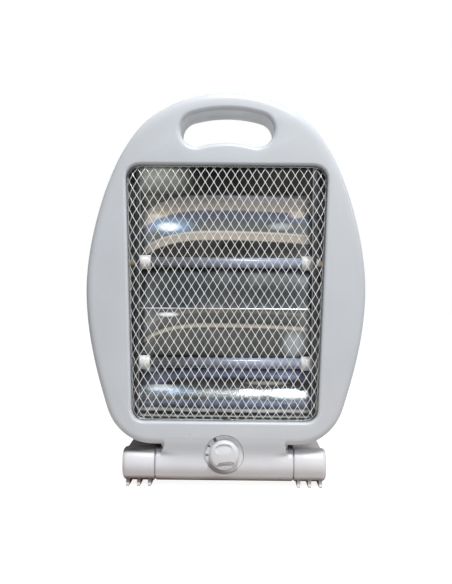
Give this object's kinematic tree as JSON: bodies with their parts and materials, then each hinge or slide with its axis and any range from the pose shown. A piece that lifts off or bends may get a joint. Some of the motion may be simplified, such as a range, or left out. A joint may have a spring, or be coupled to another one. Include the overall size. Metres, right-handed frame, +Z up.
{
  "type": "halogen heater",
  "caption": "Upright oval halogen heater with a carrying handle, a diamond mesh front over quartz tubes and mirror troughs, a rotary dial and fold-out feet.",
  "frame": {"origin": "on the floor, under the middle of the whole depth and width", "axes": "+Z up, +X to the right seen from the front, +Y towards the back, so the front faces -Y"},
  "size_m": [0.2616, 0.1244, 0.3686],
  "materials": {
    "white_plastic": "moulded, satin",
    "knob_plastic": "moulded, satin",
    "dial_plastic": "moulded, printed marks",
    "black_plastic": "moulded",
    "zinc_wire": "bright zinc plate",
    "mirror_sheet": "polished aluminium sheet",
    "dark_sheet": "heat-darkened sheet",
    "quartz": "milky fused quartz",
    "heater_wire": "oxidised resistance wire",
    "ceramic": "unglazed",
    "steel": "zinc plated",
    "brass": "plain",
    "lead_sleeve": "glass-fibre sleeve",
    "rubber": "moulded"
  },
  "bodies": {
    "housing": {"front_shell": "white_plastic", "rear_shell": "white_plastic", "base_cover": "white_plastic", "left_upper_shell_screw": "steel", "left_middle_shell_screw": "steel", "left_lower_shell_screw": "steel", "right_upper_shell_screw": "steel", "right_middle_shell_screw": "steel", "right_lower_shell_screw": "steel", "left_upper_plate_screw": "steel", "left_lower_plate_screw": "steel", "right_upper_plate_screw": "steel", "right_lower_plate_screw": "steel", "left_cover_screw": "steel", "right_cover_screw": "steel", "mesh_guard": "zinc_wire", "upper_reflector": "mirror_sheet", "lower_reflector": "mirror_sheet", "reflector_strip": "mirror_sheet", "heat_shield": "dark_sheet", "left_side_plate": "mirror_sheet", "right_side_plate": "mirror_sheet", "upper_quartz_tube": "quartz", "upper_heating_coil": "heater_wire", "lower_quartz_tube": "quartz", "lower_heating_coil": "heater_wire", "upper_left_ceramic_cap": "ceramic", "upper_right_ceramic_cap": "ceramic", "lower_left_ceramic_cap": "ceramic", "lower_right_ceramic_cap": "ceramic", "upper_left_terminal": "brass", "upper_right_terminal": "brass", "lower_left_terminal": "brass", "lower_right_terminal": "brass", "thermal_cutout": "black_plastic", "dial_plate": "dial_plastic", "rotary_switch": "black_plastic", "tilt_switch_case": "black_plastic", "terminal_block": "ceramic", "tube_link_lead": "lead_sleeve", "supply_lead": "lead_sleeve", "lower_tube_lead": "lead_sleeve", "upper_tube_lead": "lead_sleeve", "cord_inlet": "rubber"},
    "knob": {"knob": "knob_plastic", "switch_shaft": "steel"},
    "left_foot": {"left_foot": "white_plastic", "left_foot_axle": "steel", "left_foot_washer": "steel", "left_foot_clip": "steel"},
    "right_foot": {"right_foot": "white_plastic", "right_foot_axle": "steel", "right_foot_washer": "steel", "right_foot_clip": "steel"},
    "tilt_arm": {"tilt_pendulum": "brass"}
  },
  "joints": [
    {"name": "dial_turn", "type": "hinge", "parent": "housing", "child": "knob", "pos_m": [0, -0.05575, 0.0304], "axis": [0, 1, 0], "range_deg": [0, 60]},
    {"name": "left_foot_fold", "type": "hinge", "parent": "housing", "child": "left_foot", "pos_m": [-0.08, -0.03875, 0.0195], "axis": [-1, 0, 0], "range_deg": [0, 90]},
    {"name": "right_foot_fold", "type": "hinge", "parent": "housing", "child": "right_foot", "pos_m": [0.08, -0.03875, 0.0195], "axis": [-1, 0, 0], "range_deg": [0, 90]},
    {"name": "tilt_swing", "type": "hinge", "parent": "housing", "child": "tilt_arm", "pos_m": [0.032, -0.02975, 0.0522], "axis": [1, 0, 0], "range_deg": [-25, 25]}
  ]
}
